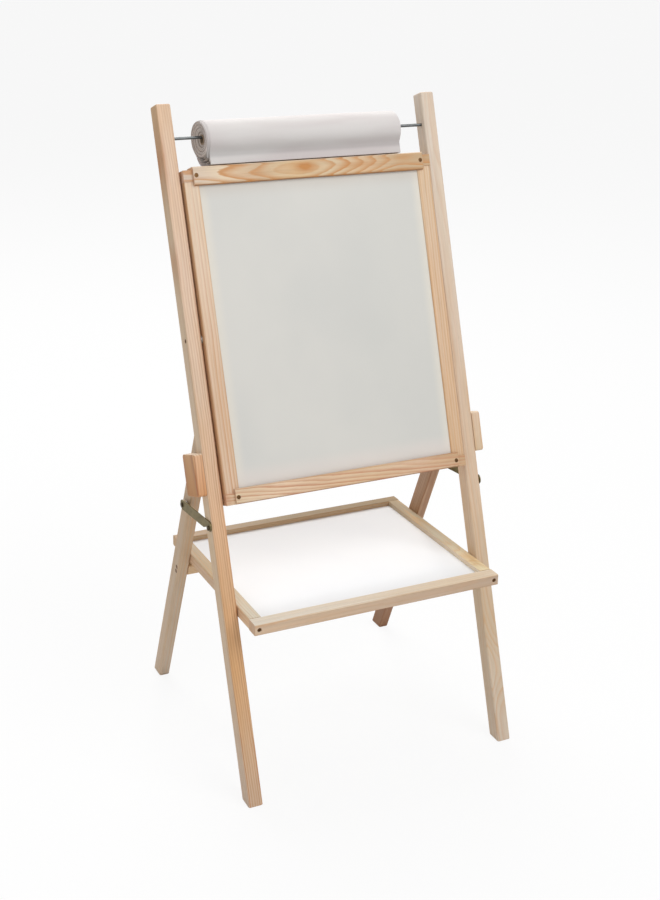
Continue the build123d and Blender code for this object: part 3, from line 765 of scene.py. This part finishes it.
def settle(piece, material, body, slot, *replaced):
    """Finish a piece: its place goes into its mesh, and it rides on its body."""
    pick(piece)
    bpy.ops.object.transform_apply(location=True, rotation=True, scale=True)
    bpy.ops.object.shade_smooth_by_angle(angle=SHARP)
    piece.data.materials.clear()
    piece.data.materials.append(material)
    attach(piece, body)
    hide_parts(*replaced)
    return piece


def apply_all(piece):
    """Apply a piece's modifiers."""
    pick(piece)
    for modifier in list(piece.modifiers):
        bpy.ops.object.modifier_apply(modifier=modifier.name)


def twin(piece):
    """A copy of a piece with its own mesh."""
    copy = piece.copy()
    copy.data = piece.data.copy()
    bpy.context.scene.collection.objects.link(copy)
    return copy


def rod_blank(name, radius, length, middle_place, vertices=64):
    """A round blank along x, in edit mode, with a face at each end."""
    clear_selection()
    lying = (0, math.pi / 2, 0)
    bpy.ops.mesh.primitive_cylinder_add(
        vertices=vertices, radius=radius, depth=length, location=middle_place, rotation=lying
    )
    blank = bpy.context.object
    blank.name = name
    bpy.ops.object.transform_apply(location=True, rotation=True)
    bpy.ops.object.mode_set(mode="EDIT")
    return blank


def bore_through(piece):
    """Join the two end faces of a blank by a bore."""
    select_only(piece.data, "FACE", is_end_face)
    bpy.ops.mesh.bridge_edge_loops()
    bpy.ops.object.mode_set(mode="OBJECT")


# ------------------------------------------------------------------ the roll
# how the wound edges step from the rim to the core: each step's width and rise in mm
END_STEPS = (
    (0.4, -0.4), (0.9, 0.0), (0.3, 0.7), (1.3, 0.2), (0.3, -0.9), (1.8, 0.0), (0.3, 0.6), (2.2, 0.2),
    (0.3, -0.5), (1.5, 0.0), (0.3, 0.8), (2.4, -0.3), (0.3, -0.6), (2.0, 0.0), (0.3, 0.7), (1.6, 0.0),
)


def step_end(roll, side, slip):
    """Step one end face down or up from the rim to the core, whose turns have slipped along."""
    run = ROLL_RADIUS - CORE_RADIUS
    last_width = run / MM - sum(width for width, _ in END_STEPS)
    for width, rise in (*END_STEPS, (last_width, 0)):
        select_only(roll.data, "FACE", lambda face: is_end_face(face) and face.normal.x * side > 0.5)
        bpy.ops.mesh.inset(thickness=width * MM, depth=(rise + slip * width / run) * MM)


def wound_roll():
    """The roll's body: its turns have slipped to the right, so that its left end is dished."""
    length = 2 * ROLL_HALF + RIM
    roll = rod_blank("wound_roll", ROLL_RADIUS, length, ROLL_MIDDLE - RIM / 2 * ACROSS, 96)
    step_end(roll, -1, -SLIP - RIM)
    step_end(roll, 1, SLIP)
    bore_through(roll)
    bpy.ops.object.mode_set(mode="EDIT")
    select_only(roll.data, "VERT", lambda point: point.co.x < ROLL_MIDDLE.x)
    rim_middle = ROLL_MIDDLE - (ROLL_HALF + RIM) * ACROSS
    skew = math.asin(SKEW / ROLL_RADIUS)
    bpy.ops.transform.rotate(value=-skew, orient_axis="Z", center_override=rim_middle)
    bpy.ops.object.mode_set(mode="OBJECT")
    return settle(roll, paper_ends, "paper_roll", "drawing_paper", "paper_roll")


def card_core():
    """The card tube in the roll, slipped with the inmost turns."""
    place = middle("paper_core") + SLIP * ACROSS
    core = rod_blank("card_core", CORE_RADIUS - CORE_GAP, span("paper_core", ACROSS), place)
    select_only(core.data, "FACE", is_end_face)
    bpy.ops.mesh.inset(thickness=CORE_RADIUS - BORE_RADIUS)
    bore_through(core)
    return settle(core, core_finish(), "paper_roll", "core_board", "paper_core")


# the slackest turn: its angle round the roll, from the back over the top, and its radius in mm
SLACK = (
    (0, 29.0), (200, 29.2), (210, 30.2), (215, 32.2), (220, 38.6), (225, 47.2), (230, 45.4), (236, 43.6),
    (250, 42.8), (265, 41.6), (280, 41.0), (300, 36.2), (320, 32.0), (340, 29.8), (360, 29.0),
)
# the loose paper: where its inmost turn starts, in degrees and from the middle, its thickness, and how
# much shorter than the roll it is
PAPER_START = 300
TIGHTEST = 27.4 * MM
PAPER_THICKNESS = 0.35 * MM
PAPER_MARGIN = 3 * MM


def slack_radius(angle):
    """The slackest turn's radius at an angle, in metres."""
    angle %= 360
    for (before, low), (after, high) in zip(SLACK, SLACK[1:]):
        if angle <= after:
            return (low + (high - low) * (angle - before) / (after - before)) * MM


def loose_outline(turns=4, steps=72):
    """The loose turns from the roll's middle: each is slacker than the one inside it, and slips on."""
    points = []
    for i in range(turns * steps + 1):
        degrees = PAPER_START + 360 * i / steps
        angle = math.radians(degrees)
        share = i / steps / turns
        radius = TIGHTEST + (slack_radius(degrees) - TIGHTEST) * share ** 1.4
        wobble = 0.7 * MM * math.sin(9 * share + 1)
        aside = SLIP * share - RIM - SKEW * math.cos(angle) + wobble
        points.append(Vector((aside, radius * math.cos(angle), radius * math.sin(angle))))
    return points


def loose_turns():
    """The outer turns, gone slack: each hangs a little lower than the one inside it."""
    outline = loose_outline()
    clear_selection()
    bpy.ops.mesh.primitive_plane_add(size=1)
    sheet = bpy.context.object
    sheet.name = "loose_turns"
    bpy.ops.object.mode_set(mode="EDIT")
    select_only(sheet.data, "VERT", lambda point: point.co.y > 0)
    bpy.ops.mesh.delete(type="VERT")
    bpy.ops.mesh.select_all(action="SELECT")
    bpy.ops.transform.resize(value=(2 * ROLL_HALF - PAPER_MARGIN, 1, 1))
    edge = Vector((-PAPER_MARGIN / 2, 0.5, 0))
    bpy.ops.transform.translate(value=ROLL_MIDDLE + outline[0] + edge)
    bpy.ops.mesh.subdivide(number_cuts=24)
    for before, after in zip(outline, outline[1:]):
        bpy.ops.mesh.extrude_region_move(TRANSFORM_OT_translate={"value": after - before})
    bpy.ops.object.mode_set(mode="OBJECT")
    thickness = sheet.modifiers.new("thickness", "SOLIDIFY")
    thickness.thickness = PAPER_THICKNESS
    thickness.offset = 0
    apply_all(sheet)
    return settle(sheet, paper_side, "front_frame", "drawing_paper", "paper_wrap")


wound_roll()
card_core()
loose_turns()


# ------------------------------------------------------------------ screws
MERGE = 0.01 * MM


def screw_places(node, way):
    """Where a node's screws have their heads, and the way each head looks."""
    spare = twin(frame["nodes"][node])
    spare.parent = None
    pick(spare)
    bpy.ops.object.mode_set(mode="EDIT")
    bpy.ops.mesh.select_all(action="SELECT")
    bpy.ops.mesh.remove_doubles(threshold=MERGE)
    bpy.ops.mesh.separate(type="LOOSE")
    bpy.ops.object.mode_set(mode="OBJECT")
    places = []
    for shape in list(bpy.context.selected_objects):
        points = [vertex.co.copy() for vertex in shape.data.vertices]
        out = way(sum(points, Vector()) / len(points))
        reach = max(point.dot(out) for point in points)
        rim = [point for point in points if point.dot(out) > reach - MERGE]
        places.append((sum(rim, Vector()) / len(rim), out))
        bpy.data.objects.remove(shape)
    return places


def cut_slot(head, radius, height, turn):
    """Cut one slot of a cross recess, narrower at its bottom than at the crown."""
    clear_selection()
    bpy.ops.mesh.primitive_cube_add(size=1, location=(0, 0, 0), rotation=(0, 0, turn))
    slot = bpy.context.object
    bpy.ops.transform.resize(value=(radius * 1.15, radius * 0.26, height * 1.1), orient_type="LOCAL")
    bpy.ops.object.mode_set(mode="EDIT")
    select_only(slot.data, "FACE", lambda face: face.normal.z < -0.5)
    bpy.ops.transform.resize(value=(0.6, 0.6, 1))
    bpy.ops.object.mode_set(mode="OBJECT")
    cut = head.modifiers.new("slot", "BOOLEAN")
    cut.operation = "DIFFERENCE"
    cut.solver = "EXACT"
    cut.object = slot
    apply_all(head)
    bpy.data.objects.remove(slot)


def screw_head(radius, height, dome, shank, length):
    """A cross-recessed head that looks up z with its crown at the origin, on a plain shank; sizes in mm."""
    radius, height, dome, shank, length = (size * MM for size in (radius, height, dome, shank, length))
    clear_selection()
    below = (0, 0, -height / 2)
    bpy.ops.mesh.primitive_cylinder_add(vertices=32, radius=radius, depth=height, location=below)
    head = bpy.context.object
    bpy.ops.object.transform_apply(location=True)
    bpy.ops.object.mode_set(mode="EDIT")
    select_only(head.data, "FACE", lambda face: face.normal.z < -0.5)
    bpy.ops.mesh.inset(thickness=radius - shank)
    bpy.ops.mesh.extrude_region_move(TRANSFORM_OT_translate={"value": (0, 0, -length)})
    select_only(head.data, "FACE", lambda face: face.normal.z > 0.5)
    bpy.ops.mesh.bevel(offset=dome, segments=4, affect="EDGES")
    bpy.ops.object.mode_set(mode="OBJECT")
    cut_slot(head, radius, height, 0)
    cut_slot(head, radius, height, math.pi / 2)
    return head


def set_screws(name, node, head, way, material=screw_bronze, slot="screw_brass"):
    """Put a copy of a head wherever a node has a screw, each turned its own way."""
    copies = []
    for i, (place, out) in enumerate(screw_places(node, way)):
        copy = twin(head)
        upright = out.to_track_quat("Z", "Y").to_matrix().to_4x4()
        turn = Matrix.Rotation(0.5 + 1.9 * i, 4, "Z")
        copy.matrix_world = Matrix.Translation(place) @ upright @ turn
        copies.append(copy)
    pick(*copies)
    bpy.ops.object.join()
    joined = bpy.context.object
    joined.name = name
    return settle(joined, material, frame["nodes"][node]["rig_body"], slot, node)


def forward(centre):
    """Out of the board's face."""
    return OUT_FRONT


def sideways(centre):
    """Away from the easel's middle."""
    return ACROSS if centre.x > 0 else -ACROSS


def inward(centre):
    """Towards the easel's middle."""
    return -sideways(centre)


def off_tray(centre):
    """Out of the tray's front or rear rail, whichever is nearer."""
    return -TRAY_BACK if centre.y < 0 else TRAY_BACK


corner_head = screw_head(radius=3.4, height=1.6, dome=0.2, shank=1.7, length=4)
side_head = screw_head(radius=3.7, height=1.8, dome=0.3, shank=1.9, length=4)
small_head = screw_head(radius=3.2, height=1.5, dome=0.2, shank=1.5, length=4)
pan_head = screw_head(radius=4.0, height=1.8, dome=0.8, shank=2.2, length=6)
set_screws("corner_screws", "board_corner_screws", corner_head, forward)
set_screws("side_screws", "frame_side_screws", side_head, sideways)
set_screws("tray_rail_screws", "tray_screws", small_head, off_tray)
set_screws("leg_screws", "crossbar_screws", side_head, sideways)
set_screws("block_screws", "cheek_screws", side_head, inward)
set_screws("upright_studs", "stay_studs", pan_head, sideways, stud_steel, "zinc_steel")
set_screws("stay_pivots", "stay_screws", pan_head, sideways, stud_steel, "zinc_steel")
for head in (corner_head, side_head, small_head, pan_head):
    bpy.data.objects.remove(head)
